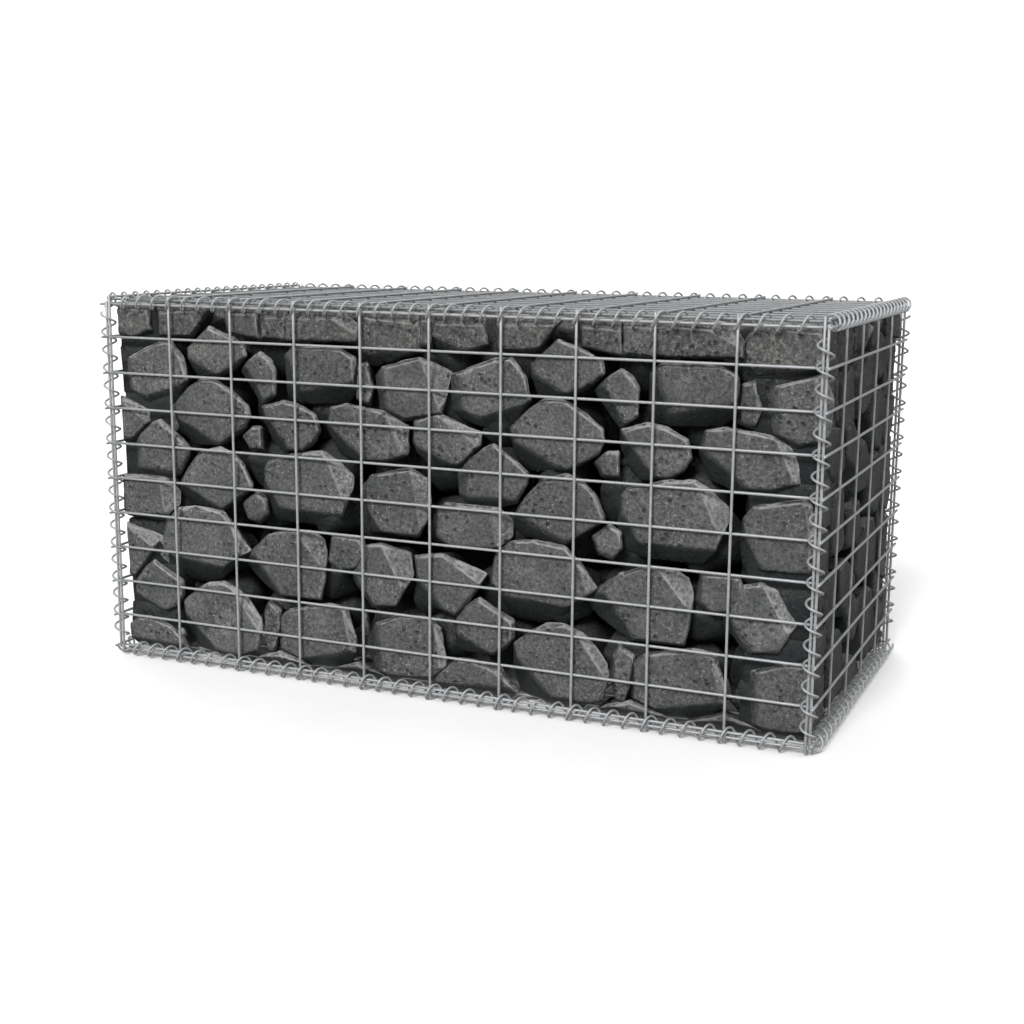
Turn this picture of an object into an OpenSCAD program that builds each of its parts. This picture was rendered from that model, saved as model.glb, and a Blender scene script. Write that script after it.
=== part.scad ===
// Gabion basket: six welded mesh panels laced together by twelve spiral binders,
// filled with broken stone in two lifts.
// X runs along the basket, the front looks towards -Y, and Z is up.
// The origin is on the floor, under the middle of the basket.

/* [Basket] */
// Length between the outermost upright wires of the front
basket_l = 1000; // [600:50:2000]
// Width between the weld planes of the front and back
basket_w = 500; // [400:50:1000]
// Height between the weld levels of the base and lid
basket_h = 500; // [400:50:1000]

/* [Mesh] */
// Diameter of the panel wires
wire_d = 3.5; // [2.8:0.1:5]
// Depth that welded wires sink into each other
weld_sink = 0.5; // [0.3:0.1:0.8]
// Wanted spacing of the upright wires, and of the cross wires of the lid and base
upright_pitch = 100; // [75:5:150]
// Wanted spacing of the level wires, and of the long wires of the lid and base
level_pitch = 50; // [40:5:75]
// Reach of the front and back upright wires past the height
upright_stub = 8; // [7:0.5:10]
// Reach of the level wires of the ends past their edge wires
end_stub = 9; // [4:0.5:12]
// Reach of every other wire past the last wire it is welded to
trim = 1.5; // [1:0.25:3]
// Drop of the top level wire below the height; the lowest one sits as far above the bottom
rim_drop = 4; // [3:0.5:6]
// Set-back of the outermost cross wires of the lid behind the upright wires of the ends
lid_setback = 0.5; // [0:0.25:2]

/* [Spiral binders] */
// Outside diameter of the spirals
spiral_d = 22; // [20:1:28]
// Diameter of the spiral wire
spiral_wire_d = 3; // [2.2:0.1:4]
// Wanted advance of a spiral in one turn
spiral_pitch = 25; // [20:1:34]

/* [Clearances] */
// Clear gap between the edge wires of two panels that meet at an upright corner
corner_gap = 1.5; // [1:0.25:3]
// Clear gap between a cut wire end and the wire that it stops short of
end_gap = 0.75; // [0.5:0.05:1.5]
// Clear gap between a spiral and the cross wires that it leans on
seat_gap = 0.3; // [0.2:0.05:0.5]
// Clear gap between the spirals across the ends and the two edge wires that they lace together
lace_gap = 0.3; // [0.2:0.05:0.5]
// Clear gap between spirals that meet at a corner
spiral_gap = 1.25; // [0.8:0.05:3]
// Clear gap between the stone fill and the wires round it, and between the lifts
stone_gap = 0.3; // [0.2:0.05:0.5]

/* [Hidden] */

WIRE_SIDES = 8;    // sides of a panel wire, flats towards the axes
RING_SIDES = 4;    // sides of the spiral wire
TURN_STEPS = 8;    // rings in one turn of a spiral

// Signs for the side of the basket that a piece is on
FRONT = -1;
BACK = 1;
LEFT = -1;
RIGHT = 1;
BOTTOM = -1;
TOP = 1;

wire_r = wire_d / 2;
wire_corner_r = wire_r / cos(180 / WIRE_SIDES);
layer = wire_d - weld_sink;             // distance between the two layers of a panel

// Radius of the middle of the spiral wire, and the room that its flat stretches leave inside
spiral_r = (spiral_d - spiral_wire_d) / 2;
spiral_room_r = spiral_r * cos(180 / TURN_STEPS) - spiral_wire_d / 2;

// Whole numbers of bays, so that every spiral meets each cross wire in the same phase
bays = round(basket_l / upright_pitch);
bay = basket_l / bays;
rows = round(basket_h / level_pitch);
row = basket_h / rows;
end_bays = round(basket_w / upright_pitch);
end_bay = basket_w / end_bays;
long_bays = end_bays * max(1, round(end_bay / level_pitch));
long_bay = basket_w / long_bays;

// Wire planes, as distances from the middle of the basket
half_l = basket_l / 2;
half_w = basket_w / 2;
half_h = basket_h / 2;
face_upright_y = half_w + layer / 2;
face_level_y = half_w - layer / 2;
end_upright_x = half_l + wire_d + corner_gap;
end_level_x = end_upright_x + layer;
rim_z = half_h - rim_drop;
lid_edge_x = end_upright_x - lid_setback;
// The two edge wires inside the end spirals are set as far apart as the spirals have room for
cross_pair_r = spiral_room_r - wire_corner_r - lace_gap;
lid_cross_z = rim_z + 2 * sqrt(cross_pair_r ^ 2 - ((end_level_x - lid_edge_x) / 2) ^ 2);
lid_long_z = lid_cross_z - layer;
lid_reach_y = face_upright_y - wire_r - end_gap;
lid_edge_y = lid_reach_y - trim;

// Heights of the level wires above mid-height
level_z = [for (i = [0:rows]) i == 0 ? -rim_z : i == rows ? rim_z : i * row - half_h];

// Spiral axes, each midway between the two edge wires that it laces together
long_axis_y = (face_level_y + lid_edge_y) / 2;
long_axis_z = (rim_z + lid_long_z) / 2;
cross_axis_x = (end_level_x + lid_edge_x) / 2;
cross_axis_z = (rim_z + lid_cross_z) / 2;
corner_axis_x = (half_l + end_upright_x) / 2;
corner_axis_y = face_upright_y;

long_advance = bay / round(bay / spiral_pitch);
cross_advance = long_bay / round(long_bay / spiral_pitch);
corner_advance = row / round(row / spiral_pitch);

// Where the spirals stop: the cross ones run to the corners and the others stop short of them
spiral_clear = (spiral_d + spiral_wire_d) / 2 + spiral_gap;
long_end = corner_axis_x - spiral_clear;
cross_end = half_w;
corner_end = cross_axis_z - spiral_clear;

// Half sizes of the stone fill, inside the wires
fill_x = end_upright_x - wire_r - stone_gap;
fill_y = face_level_y - wire_r - stone_gap;
fill_z = lid_long_z - wire_r - stone_gap;

// Bevels of the fill, just clear of the spirals
bevel_reach = (spiral_d / 2 + stone_gap) * sqrt(2);
long_bevel = bevel_reach + fill_y + fill_z - long_axis_y - long_axis_z;
cross_bevel = bevel_reach + fill_x + fill_z - cross_axis_x - cross_axis_z;
corner_bevel = bevel_reach + fill_x + fill_y - corner_axis_x - corner_axis_y;

// Height of the middle of the basket when it stands on its lowest spirals
mid_z = spiral_d / 2 + max(long_axis_z, cross_axis_z);

// Straight wires ---------------------------------------------------------------

// A wire of half length reach along Z, with its flats square to X and Y
module wire(reach) {
    rotate(180 / WIRE_SIDES)
        cylinder(d = wire_d / cos(180 / WIRE_SIDES), h = 2 * reach, center = true, $fn = WIRE_SIDES);
}

module wire_x(y, z, reach) { translate([0, y, z]) rotate([0, 90, 0]) wire(reach); }
module wire_y(x, z, reach) { translate([x, 0, z]) rotate([90, 0, 0]) wire(reach); }
module wire_z(x, y, reach) { translate([x, y, 0]) wire(reach); }

// Panels: wires in two layers, fused where they cross ----------------------------

// Front or back: upright wires outside, level wires inside
module face_panel(side) {
    level_reach = end_upright_x - wire_r - end_gap;
    color("silver") translate([0, 0, mid_z]) {
        for (i = [0:bays]) wire_z(i * bay - half_l, side * face_upright_y, half_h + upright_stub);
        for (z = level_z) wire_x(side * face_level_y, z, level_reach);
    }
}

// Left or right end: level wires outside, upright wires inside
module end_panel(side) {
    edge_y = face_upright_y;
    upright_reach = lid_long_z - wire_r - end_gap;
    color("silver") translate([0, 0, mid_z]) {
        for (i = [1:end_bays - 1]) wire_z(side * end_upright_x, i * end_bay - half_w, upright_reach);
        for (y = [-edge_y, edge_y]) wire_z(side * end_upright_x, y, upright_reach);
        for (z = level_z) wire_y(side * end_level_x, z, edge_y + end_stub);
    }
}

// Base or lid: long wires inside, cross wires outside
module flat_panel(side) {
    color("silver") translate([0, 0, mid_z]) {
        for (i = [1:long_bays - 1]) wire_x(i * long_bay - half_w, side * lid_long_z, lid_edge_x + trim);
        for (y = [-lid_edge_y, lid_edge_y]) wire_x(y, side * lid_long_z, lid_edge_x + trim);
        for (i = [1:bays - 1]) wire_y(i * bay - half_l, side * lid_cross_z, lid_reach_y);
        for (x = [-lid_edge_x, lid_edge_x]) wire_y(x, side * lid_cross_z, lid_reach_y);
    }
}

// Spiral binders -----------------------------------------------------------------

// Angle between a cross wire and the strand that leans on it, seen along the spiral
function lean(advance) =
    let (rise = atan(advance / (2 * PI * spiral_r)))
    360 * (wire_corner_r + spiral_wire_d / 2 + seat_gap) / cos(rise) / advance;

// One ring of wire at angle a round the spiral and height z along it
function ring(a, z, rise) = [
    for (k = [0:RING_SIDES - 1])
        let (
            out = spiral_wire_d / 2 * cos(360 * k / RING_SIDES),
            along = spiral_wire_d / 2 * sin(360 * k / RING_SIDES)
        )
        [
            (spiral_r + out) * cos(a) - along * sin(rise) * sin(a),
            (spiral_r + out) * sin(a) + along * sin(rise) * cos(a),
            z + along * cos(rise)
        ]
];

// A left-hand spiral along Z between -reach and reach. At height 0 and every whole turn from
// it the strand is at the angle phase, and a ring lies on each of the four cardinal directions.
module spiral(phase, advance, reach) {
    rise = atan(advance / (2 * PI * spiral_r));
    step = 360 / TURN_STEPS;
    first = floor((phase + 360 * reach / advance) / step);
    last = ceil((phase - 360 * reach / advance) / step);
    count = first - last;
    points = [
        for (i = [0:count])
            let (a = (first - i) * step)
            each ring(a, (phase - a) * advance / 360, rise)
    ];
    sides = [
        for (i = [0:count - 1], k = [0:RING_SIDES - 1])
            let (
                a = i * RING_SIDES + k,
                b = i * RING_SIDES + (k + 1) % RING_SIDES
            )
            each [[a, a + RING_SIDES, b + RING_SIDES], [a, b + RING_SIDES, b]]
    ];
    near_cap = [for (k = [0:RING_SIDES - 1]) k];
    far_cap = [for (k = [RING_SIDES - 1:-1:0]) count * RING_SIDES + k];
    polyhedron(points = points, faces = concat(sides, [near_cap, far_cap]), convexity = 10);
}

// Phase at height 0 of a spiral that is at the angle phase at the distance shift from there
function phase_at_middle(phase, shift, advance) = phase - 360 * shift / advance;

// Along X, lacing a face to the lid or base, and leaning on the upright wires
module long_spiral(side, level) {
    dy = face_upright_y - long_axis_y;
    at_wire = atan2(-level * sqrt(spiral_r ^ 2 - dy ^ 2), side * dy);
    phase = at_wire + side * level * lean(long_advance);
    color("gainsboro")
        translate([0, side * long_axis_y, mid_z + level * long_axis_z])
            rotate([90, 0, 90])
                spiral(phase_at_middle(phase, half_l, long_advance), long_advance, long_end);
}

// Along Y, lacing an end to the lid or base, and leaning on the upright wires of the end
module cross_spiral(side, level) {
    dx = end_upright_x - cross_axis_x;
    at_wire = atan2(side * dx, -level * sqrt(spiral_r ^ 2 - dx ^ 2));
    phase = at_wire - side * level * lean(cross_advance);
    color("gainsboro")
        translate([side * cross_axis_x, 0, mid_z + level * cross_axis_z])
            rotate([0, -90, -90])
                spiral(phase_at_middle(phase, half_w, cross_advance), cross_advance, cross_end);
}

// Up a corner, lacing a face to an end, and leaning on the level wires of the face
module corner_spiral(side, face) {
    dy = face_level_y - corner_axis_y;
    at_wire = atan2(face * dy, -side * sqrt(spiral_r ^ 2 - dy ^ 2));
    phase = at_wire - side * face * lean(corner_advance);
    color("gainsboro")
        translate([side * corner_axis_x, face * corner_axis_y, mid_z])
            spiral(phase_at_middle(phase, half_h, corner_advance), corner_advance, corner_end);
}

// Stone fill ---------------------------------------------------------------------

// A rectangle of half sizes a and b with bevelled corners
module bevelled(a, b, bevel) {
    polygon([
        [a, b - bevel], [a - bevel, b], [bevel - a, b], [-a, b - bevel],
        [-a, bevel - b], [bevel - a, -b], [a - bevel, -b], [a, bevel - b]
    ]);
}

// The space that the stones take up inside the basket, clear of every wire
module fill_space() {
    intersection() {
        rotate([90, 0, 90])
            linear_extrude(2 * fill_x, center = true) bevelled(fill_y, fill_z, long_bevel);
        rotate([90, 0, 0])
            linear_extrude(2 * fill_y, center = true) bevelled(fill_x, fill_z, cross_bevel);
        linear_extrude(2 * fill_z, center = true) bevelled(fill_x, fill_y, corner_bevel);
    }
}

// The lower or upper half of the fill
module stone_lift(level) {
    lift_h = fill_z - stone_gap / 2;
    color("dimgray") translate([0, 0, mid_z]) intersection() {
        fill_space();
        translate([0, 0, level * (lift_h + stone_gap) / 2])
            cube([2 * fill_x, 2 * fill_y, lift_h], center = true);
    }
}

face_panel(FRONT);  // front_mesh
face_panel(BACK);  // back_mesh
end_panel(LEFT);  // left_end_mesh
end_panel(RIGHT);  // right_end_mesh
flat_panel(BOTTOM);  // base_mesh
flat_panel(TOP);  // lid_mesh
long_spiral(FRONT, TOP);  // spiral_front_top
long_spiral(FRONT, BOTTOM);  // spiral_front_bottom
long_spiral(BACK, TOP);  // spiral_back_top
long_spiral(BACK, BOTTOM);  // spiral_back_bottom
cross_spiral(LEFT, TOP);  // spiral_left_top
cross_spiral(LEFT, BOTTOM);  // spiral_left_bottom
cross_spiral(RIGHT, TOP);  // spiral_right_top
cross_spiral(RIGHT, BOTTOM);  // spiral_right_bottom
corner_spiral(LEFT, FRONT);  // spiral_front_left_corner
corner_spiral(RIGHT, FRONT);  // spiral_front_right_corner
corner_spiral(LEFT, BACK);  // spiral_back_left_corner
corner_spiral(RIGHT, BACK);  // spiral_back_right_corner
stone_lift(BOTTOM);  // stone_lift_lower
stone_lift(TOP);  // stone_lift_upper
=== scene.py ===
"""A gabion basket: welded wire panels, spiral binders and broken stone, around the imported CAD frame."""

import math
import random

import bmesh
import bpy
import numpy as np
from mathutils import Matrix, Vector, noise


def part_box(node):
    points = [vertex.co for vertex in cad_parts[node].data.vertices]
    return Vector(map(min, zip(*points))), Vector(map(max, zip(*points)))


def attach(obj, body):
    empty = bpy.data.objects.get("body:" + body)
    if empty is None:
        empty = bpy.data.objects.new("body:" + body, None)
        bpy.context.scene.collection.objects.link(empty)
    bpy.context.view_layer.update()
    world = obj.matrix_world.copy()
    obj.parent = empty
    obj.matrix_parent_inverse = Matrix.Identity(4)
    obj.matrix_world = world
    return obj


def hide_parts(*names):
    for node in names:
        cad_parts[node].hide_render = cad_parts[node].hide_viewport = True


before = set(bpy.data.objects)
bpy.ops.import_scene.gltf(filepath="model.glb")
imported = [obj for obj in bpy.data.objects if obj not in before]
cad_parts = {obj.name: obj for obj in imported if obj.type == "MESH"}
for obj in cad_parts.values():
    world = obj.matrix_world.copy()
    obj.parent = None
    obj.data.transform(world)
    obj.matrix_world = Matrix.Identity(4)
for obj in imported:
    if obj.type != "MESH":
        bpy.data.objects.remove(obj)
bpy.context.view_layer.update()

MM = 0.001
BODY = "root"
BASKET_HALF = Vector((500, 250, 250)) * MM  # half of the nominal size

# Welded mesh
WIRE_R = 1.75 * MM
UPRIGHT_PITCH = 100 * MM
LEVEL_PITCH = 50 * MM
WIRE_TRIM = 0.25 * MM  # the lid's and the base's long wires end this far short of the box
WIRE_SIDES = 12
WIRE_STEP = 50 * MM
WIRE_CHAMFER = 0.5 * MM
LAST_LEVEL = 246 * MM  # where the outermost wires of each kind lie, from the basket's middle
LAST_END_UPRIGHT = 251.5 * MM
LAST_LONG_ROW = 247.5 * MM
LAST_CROSS_ROW = 504.5 * MM

# Spiral binders
SPIRAL_R = 9.5 * MM  # to the middle of the wire
SPIRAL_WIRE_R = 1.5 * MM
SPIRAL_ADVANCE = 25 * MM
SPIRAL_SIDES = 8
SPIRAL_STEPS = 24
LACE_GAP = 0.3 * MM
LACED_R = 1.894 * MM  # corner radius of the CAD wire that a spiral turns on
LONG_SPIRAL_OFF = 3.5 * MM  # a spiral's axis beside the first wire that it turns on
CORNER_SPIRAL_OFF = 3 * MM
END_SPIRAL_OFF = 1.25 * MM

# Stone fill
ROOM_ALONG_X = 15.65 * MM  # bevels that leave room for the spirals
ROOM_ALONG_Y = 12.40 * MM
ROOM_UPRIGHT = 11.38 * MM
TILE_CM = 52  # the stone pattern repeats at this width
TILE = 516 * MM
CM = TILE / TILE_CM
BED = 5.5 * MM  # the pattern's foot above the fill's foot
OVERLAP = 0.25  # centimetres by which a stone's widest ring passes its outline
REPEATS = (-2, -1, 0, 1, 2)
SHALLOW = 36 * MM  # to this depth behind a face the stones have a fine mesh
DEEP_EDGE = 30 * MM
HEART_EDGE = 40 * MM
HEART_BEVEL = 3 * MM
CLOSE_POINTS = 3.5 * MM  # points of a hull nearer than this become one
CLOSE_CORNERS = 2.5 * MM
CUT_SLACK = 0.2 * MM
WEAR_REACH = 2.2 * MM
SKIN = 8 * MM  # to this depth a surface counts as lying against the fill's side
FLAT_FACET = 0.62  # how much a facet falls back over its width
STEEP_FACET = 1.15
END_SPAN = 225 * MM
END_SHORT = 14 * MM  # the ends' stones stop this far short of the corners
LID_SPAN = 415 * MM
BOULDER_POINTS = 18
GOLDEN_ANGLE = 2.4
HEART_PITCH = Vector((84, 76, 78)) * MM
HEART_INSET = Vector((68, 68, 68)) * MM
CORNER_STONES = 8
CORNER_STONE = Vector((44, 40, 35)) * MM  # half of a corner stone's size
CORNER_SET_BACK = Vector((3, 10.5, 0)) * MM


def middle(lo, hi):
    return (Vector(lo) + Vector(hi)) / 2


LOWER_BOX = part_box("stone_lift_lower")
UPPER_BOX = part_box("stone_lift_upper")
FILL_LO = Vector(LOWER_BOX[0])
FILL_HI = Vector(UPPER_BOX[1])
CENTRE = middle(FILL_LO, FILL_HI)
HALF = (FILL_HI - FILL_LO) / 2


# ---------------------------------------------------------------- meshes


class Shape:
    """Vertices, faces and per-vertex values that become one joined mesh."""

    def __init__(self):
        self.verts = []
        self.faces = []
        self.values = {}
        self.count = 0

    def add(self, verts, faces, **values):
        self.verts.append(np.asarray(verts, dtype=float))
        self.faces.extend([tuple(i + self.count for i in f) for f in faces])
        for name, per_vertex in values.items():
            self.values.setdefault(name, []).append(np.asarray(per_vertex, dtype=float))
        self.count += len(verts)

    def build(self, name, material):
        mesh = bpy.data.meshes.new(name)
        mesh.from_pydata(np.concatenate(self.verts).tolist(), [], self.faces)
        mesh.update()
        for key, parts in self.values.items():
            layer = mesh.attributes.new(key, "FLOAT", "POINT")
            layer.data.foreach_set("value", np.concatenate(parts).astype(np.float32))
        mesh.shade_smooth()
        mesh.materials.append(material)
        obj = bpy.data.objects.new(name, mesh)
        bpy.context.scene.collection.objects.link(obj)
        return obj


def place(obj, nodes):
    """obj stands for the CAD nodes: they are hidden and obj is attached to the body."""
    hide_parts(*nodes)
    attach(obj, BODY)


def tube(path, radii, across, sides):
    """A round bar along path. across is never parallel to it and sets where each ring starts."""
    path = np.asarray(path)
    run = np.gradient(path, axis=0)
    run /= np.linalg.norm(run, axis=1, keepdims=True)
    one = np.cross(run, across)
    one /= np.linalg.norm(one, axis=1, keepdims=True)
    two = np.cross(run, one)
    turn = np.arange(sides) * 2 * math.pi / sides
    ring = np.cos(turn)[None, :, None] * one[:, None] + np.sin(turn)[None, :, None] * two[:, None]
    verts = (path[:, None] + np.asarray(radii)[:, None, None] * ring).reshape(-1, 3)
    faces = []
    for i in range(len(path) - 1):
        for j in range(sides):
            k = (j + 1) % sides
            faces.append((i * sides + j, i * sides + k, (i + 1) * sides + k, (i + 1) * sides + j))
    last = (len(path) - 1) * sides
    faces.append(tuple(range(sides))[::-1])
    faces.append(tuple(last + j for j in range(sides)))
    return verts, faces


def capped(stations, radius, chamfer):
    """Stations along a bar with the chamfer's two added, and the radius at each."""
    inner = [s for s in stations if stations[0] + 2 * chamfer < s < stations[-1] - 2 * chamfer]
    along = [stations[0], stations[0] + chamfer, *inner, stations[-1] - chamfer, stations[-1]]
    radii = [radius - chamfer, *[radius] * (len(along) - 2), radius - chamfer]
    return along, radii


# ---------------------------------------------------------------- materials


def new_material(name):
    material = bpy.data.materials.new(name)
    material.use_nodes = True
    tree = material.node_tree
    return material, tree, tree.nodes["Principled BSDF"]


def add_node(tree, kind, **settings):
    node = tree.nodes.new(kind)
    for key, value in settings.items():
        if key in node.inputs:
            node.inputs[key].default_value = value
        else:
            setattr(node, key, value)
    return node


def ramp(tree, source, stops):
    node = tree.nodes.new("ShaderNodeValToRGB")
    items = node.color_ramp.elements
    while len(items) < len(stops):
        items.new(0.5)
    for item, (at, grey) in zip(items, stops):
        item.position = at
        item.color = (grey, grey, grey, 1) if isinstance(grey, float) else (*grey, 1)
    tree.links.new(source, node.inputs["Fac"])
    return node.outputs["Color"]


def mix(tree, factor, one, two, blend="MIX"):
    node = tree.nodes.new("ShaderNodeMix")
    node.data_type = "RGBA"
    node.blend_type = blend
    for socket, value in ((0, factor), (6, one), (7, two)):
        if isinstance(value, bpy.types.NodeSocket):
            tree.links.new(value, node.inputs[socket])
        else:
            node.inputs[socket].default_value = value
    return node.outputs[2]


def maths(tree, operation, one, two=0.0):
    node = tree.nodes.new("ShaderNodeMath")
    node.operation = operation
    for socket, value in ((0, one), (1, two)):
        if isinstance(value, bpy.types.NodeSocket):
            tree.links.new(value, node.inputs[socket])
        else:
            node.inputs[socket].default_value = value
    return node.outputs[0]


def attribute(tree, name):
    node = tree.nodes.new("ShaderNodeAttribute")
    node.attribute_name = name
    return node.outputs["Fac"]


def noise_node(tree, vector, scale, detail=4.0, roughness=0.55):
    node = add_node(tree, "ShaderNodeTexNoise", Scale=scale, Detail=detail, Roughness=roughness)
    tree.links.new(vector, node.inputs["Vector"])
    return node.outputs["Fac"]


def object_coords(tree):
    return tree.nodes.new("ShaderNodeTexCoord").outputs["Object"]


ZINC = [(0.25, (0.36, 0.37, 0.38)), (0.60, (0.49, 0.50, 0.51)), (0.85, (0.62, 0.63, 0.63))]
DULL_ZINC = (0.29, 0.30, 0.31, 1)
BASALT = [(0.28, (0.052, 0.054, 0.055)), (0.55, (0.080, 0.081, 0.081)), (0.78, (0.120, 0.119, 0.115))]
CRYSTAL = (0.27, 0.27, 0.25, 1)
LUMP = (0.24, 0.235, 0.205, 1)
# Pale rim: real edge wear, with a painted highlight where it faces the light
WORN_LIT_RIM = (0.29, 0.29, 0.28, 1)
# Tint of the painted shade on stone facets that face away from the light
SHADE_TINT = (0.17, 0.205, 0.215, 1)
WHITE = (1, 1, 1, 1)


def galvanised(name, bright):
    """Hot-dipped zinc that has dulled: a soft mottle, fine drawing marks and a slightly uneven sheen."""
    material, tree, shader = new_material(name)
    coords = object_coords(tree)
    mottle = noise_node(tree, coords, 160, 5.0, 0.6)
    dull = noise_node(tree, coords, 28, 3.0)
    stops = [(at, tuple(bright * c for c in grey)) for at, grey in ZINC]
    patched = ramp(tree, dull, [(0.42, 0.0), (0.75, 0.55)])
    grey = mix(tree, patched, ramp(tree, mottle, stops), DULL_ZINC)
    # Painted shade that dims the lid's long wires, which the lamps light from above
    lid_shade = ramp(tree, attribute(tree, "dusty"), [(0.0, 1.0), (1.0, 0.62)])
    grey = mix(tree, 1.0, grey, lid_shade, "MULTIPLY")
    tree.links.new(grey, shader.inputs["Base Color"])
    tree.links.new(ramp(tree, mottle, [(0.2, 0.42), (0.8, 0.64)]), shader.inputs["Roughness"])
    shader.inputs["Metallic"].default_value = 0.4
    bump = add_node(tree, "ShaderNodeBump", Strength=0.35, Distance=0.0002)
    tree.links.new(noise_node(tree, coords, 900, 3.0), bump.inputs["Height"])
    tree.links.new(bump.outputs["Normal"], shader.inputs["Normal"])
    return material


def broken_stone():
    """Dark basalt with pits and pale grains, worn pale rims, painted shade and painted highlights.

    It reads values that every stone's points carry: tone and grit, the stone's own; the wear near its sharp
    edges, real wear kept mostly to the edges that face the light, where it is a painted highlight; the
    painted shade where it faces away from the light and all over the heart's stones; and lit, a painted
    highlight on the facets that face the light.
    """
    material, tree, shader = new_material("basalt")
    tone = attribute(tree, "tone")
    wear = attribute(tree, "wear")
    damp = attribute(tree, "damp")
    lit = attribute(tree, "lit")
    grit = attribute(tree, "grit")
    shift = tree.nodes.new("ShaderNodeVectorMath")
    shift.operation = "ADD"
    tree.links.new(object_coords(tree), shift.inputs[0])
    tree.links.new(maths(tree, "MULTIPLY", tone, 9.0), shift.inputs[1])
    coords = shift.outputs[0]

    # Ground colour and grain
    grain = noise_node(tree, coords, 230, 5.0, 0.75)
    patches = ramp(tree, noise_node(tree, coords, 16, 2.0), [(0.40, 0.15), (0.60, 1.0)])
    base = ramp(tree, noise_node(tree, coords, 22, 6.0, 0.6), BASALT)
    mottle = ramp(tree, grain, [(0.34, 0.40), (0.50, 1.0), (0.66, 1.75)])
    base = mix(tree, 1.0, base, mottle, "MULTIPLY")

    # Pale crystals in patches, and coarse lumps on the rough stones
    crystals = ramp(tree, noise_node(tree, coords, 300, 2.0), [(0.61, 0.0), (0.68, 1.0)])
    pale = maths(tree, "MULTIPLY", crystals, patches)
    base = mix(tree, maths(tree, "MULTIPLY", pale, 0.8), base, CRYSTAL)
    lumps = ramp(tree, noise_node(tree, coords, 170, 3.0, 0.6), [(0.54, 0.0), (0.64, 1.0)])
    rough = maths(tree, "MULTIPLY", lumps, grit)
    base = mix(tree, maths(tree, "MULTIPLY", rough, 0.6), base, LUMP)

    # Pits, sunk by the bump and darkened in colour: painted shade in the pits
    cells = add_node(tree, "ShaderNodeTexVoronoi", Scale=95.0, Randomness=1.0)
    tree.links.new(coords, cells.inputs["Vector"])
    pits = ramp(tree, cells.outputs["Distance"], [(0.12, 0.0), (0.30, 1.0)])
    open_pits = mix(tree, patches, WHITE, pits)
    base = mix(tree, 1.0, base, mix(tree, 0.55, WHITE, open_pits), "MULTIPLY")

    # Painted highlights: paler facets that face the light, and worn rims, real wear that is palest where it
    # faces the light and kept off the painted shade
    base = mix(tree, 1.0, base, ramp(tree, lit, [(0.0, 1.0), (1.0, 1.9)]), "MULTIPLY")
    broken = ramp(tree, noise_node(tree, coords, 70, 4.0), [(0.34, 0.15), (0.52, 1.0)])
    worn = maths(tree, "MULTIPLY", ramp(tree, wear, [(0.22, 0.0), (0.60, 1.0)]), broken)
    unshaded = maths(tree, "MULTIPLY", maths(tree, "SUBTRACT", 1.0, damp), 0.9)
    base = mix(tree, maths(tree, "MULTIPLY", worn, unshaded), base, WORN_LIT_RIM)

    # Each stone's own tone, and painted shade: a bluish darkening where the stone faces away from the light
    base = mix(tree, 1.0, base, ramp(tree, tone, [(0.0, 0.75), (1.0, 1.3)]), "MULTIPLY")
    base = mix(tree, damp, base, mix(tree, 1.0, base, SHADE_TINT, "MULTIPLY"))
    tree.links.new(base, shader.inputs["Base Color"])
    tree.links.new(ramp(tree, grain, [(0.3, 0.70), (0.7, 0.93)]), shader.inputs["Roughness"])
    shader.inputs["Specular IOR Level"].default_value = 0.35
    coarse = add_node(tree, "ShaderNodeBump", Strength=1.0, Distance=0.003)
    tree.links.new(open_pits, coarse.inputs["Height"])
    small = add_node(tree, "ShaderNodeBump", Strength=1.0, Distance=0.0024)
    tree.links.new(grain, small.inputs["Height"])
    tree.links.new(coarse.outputs["Normal"], small.inputs["Normal"])
    tree.links.new(small.outputs["Normal"], shader.inputs["Normal"])
    return material


def pale_floor():
    material, tree, shader = new_material("pale_floor")
    cloud = noise_node(tree, object_coords(tree), 3.0)
    tree.links.new(ramp(tree, cloud, [(0.3, 0.86), (0.7, 0.90)]), shader.inputs["Base Color"])
    shader.inputs["Roughness"].default_value = 0.9
    return material


# ---------------------------------------------------------------- welded panels


def places(span, pitch, edge):
    """Wire places about the middle: one pitch apart, with the last pair moved in from span to edge."""
    count = round(2 * span / pitch)
    inner = [-span + pitch * i for i in range(1, count)]
    return [-edge, *inner, edge]


def bar_path(along, axis, at, rng):
    """Points of a nearly straight wire: it bows by a few tenths of a millimetre."""
    bow = rng.uniform(-0.35, 0.35) * MM
    wave = rng.uniform(0, 6.28)
    length = along[-1] - along[0]
    path = []
    for s in along:
        t = (s - along[0]) / length
        point = Vector(at)
        point[axis] = s
        point[(axis + 1) % 3] += bow * math.sin(math.pi * t) + 0.12 * MM * math.sin(9 * t + wave)
        path.append(point)
    return path


def add_bars(shape, axis, reach, at_list, rng, dusty):
    """One layer of parallel wires. reach is (start, end) along the axis and each at is a wire's place."""
    steps = max(2, round((reach[1] - reach[0]) / WIRE_STEP))
    stations = [reach[0] + (reach[1] - reach[0]) * i / steps for i in range(steps + 1)]
    along, radii = capped(stations, WIRE_R, WIRE_CHAMFER)
    across = [0, 0, 0]
    across[(axis + 1) % 3] = 1
    for at in at_list:
        verts, faces = tube([tuple(p) for p in bar_path(along, axis, at, rng)], radii, across, WIRE_SIDES)
        shape.add(verts, faces, dusty=np.full(len(verts), dusty))


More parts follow.
